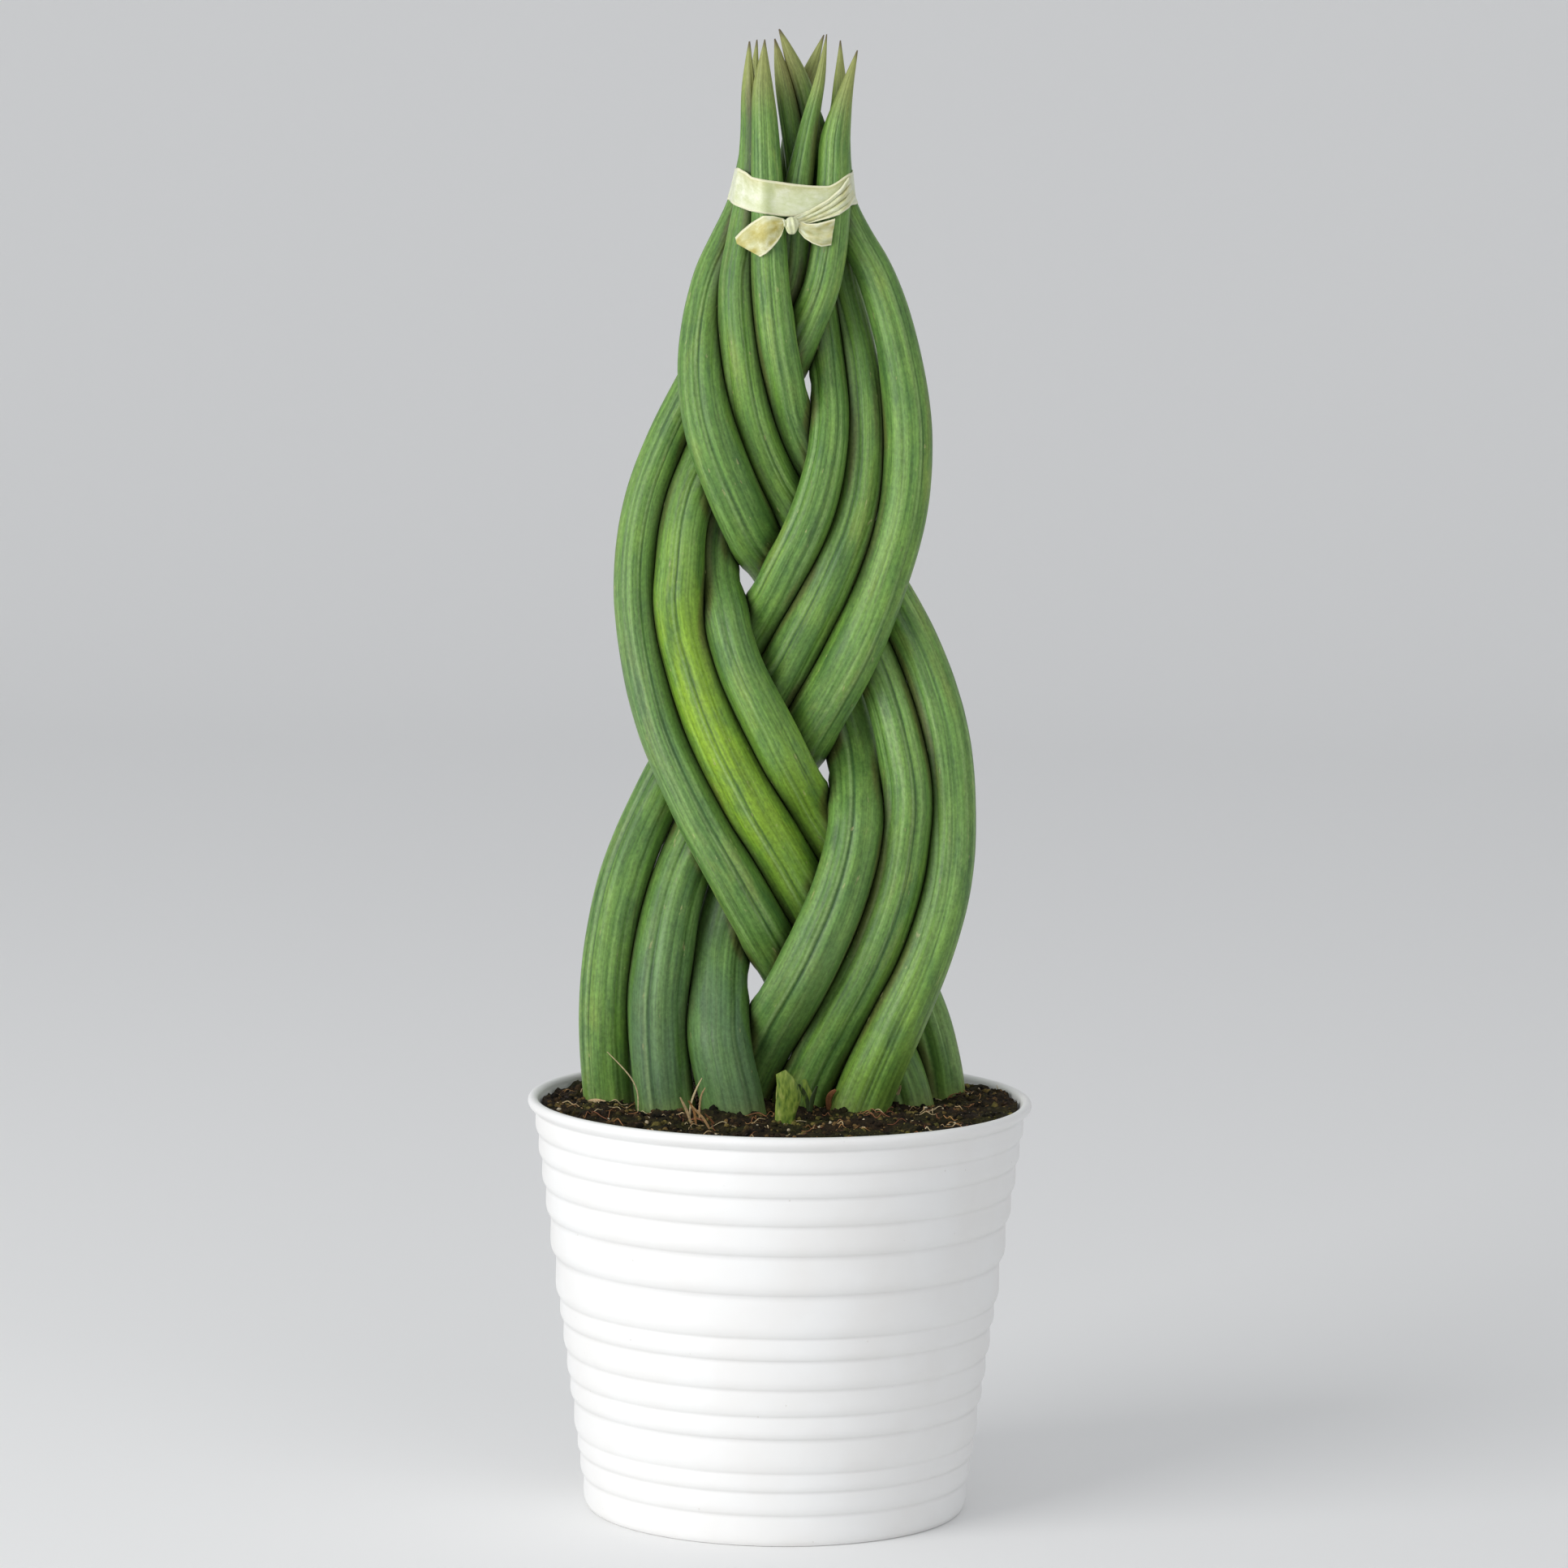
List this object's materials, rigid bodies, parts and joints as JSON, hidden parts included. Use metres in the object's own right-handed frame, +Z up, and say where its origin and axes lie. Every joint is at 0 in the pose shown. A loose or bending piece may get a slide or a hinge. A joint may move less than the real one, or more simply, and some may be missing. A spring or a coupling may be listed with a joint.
{
  "type": "potted twister snake plant",
  "caption": "Cylindrical snake plant with its leaves plaited into a column, tied near the tips with a ribbon and planted in a ribbed, tapered white pot",
  "frame": {"origin": "centre of the pot's underside, on the surface it stands on", "axes": "+Z up, -Y towards the viewer of the plait's flat side, +X to that viewer's right"},
  "size_m": [0.17, 0.17, 0.4979],
  "materials": {
    "glaze": "white satin glaze on ceramic",
    "soil": "moist dark brown potting peat",
    "leaf": "waxy green leaf with darker lengthwise streaks",
    "ribbon": "pale green satin ribbon",
    "shoot": "yellow-green young shoot"
  },
  "bodies": {
    "root": {"pot": "glaze", "soil": "soil", "leaf_middle_1": "leaf", "leaf_middle_2": "leaf", "leaf_middle_3": "leaf", "leaf_left_1": "leaf", "leaf_left_2": "leaf", "leaf_left_3": "leaf", "leaf_right_1": "leaf", "leaf_right_2": "leaf", "leaf_right_3": "leaf", "ribbon_tie": "ribbon", "shoot": "shoot"}
  },
  "joints": []
}
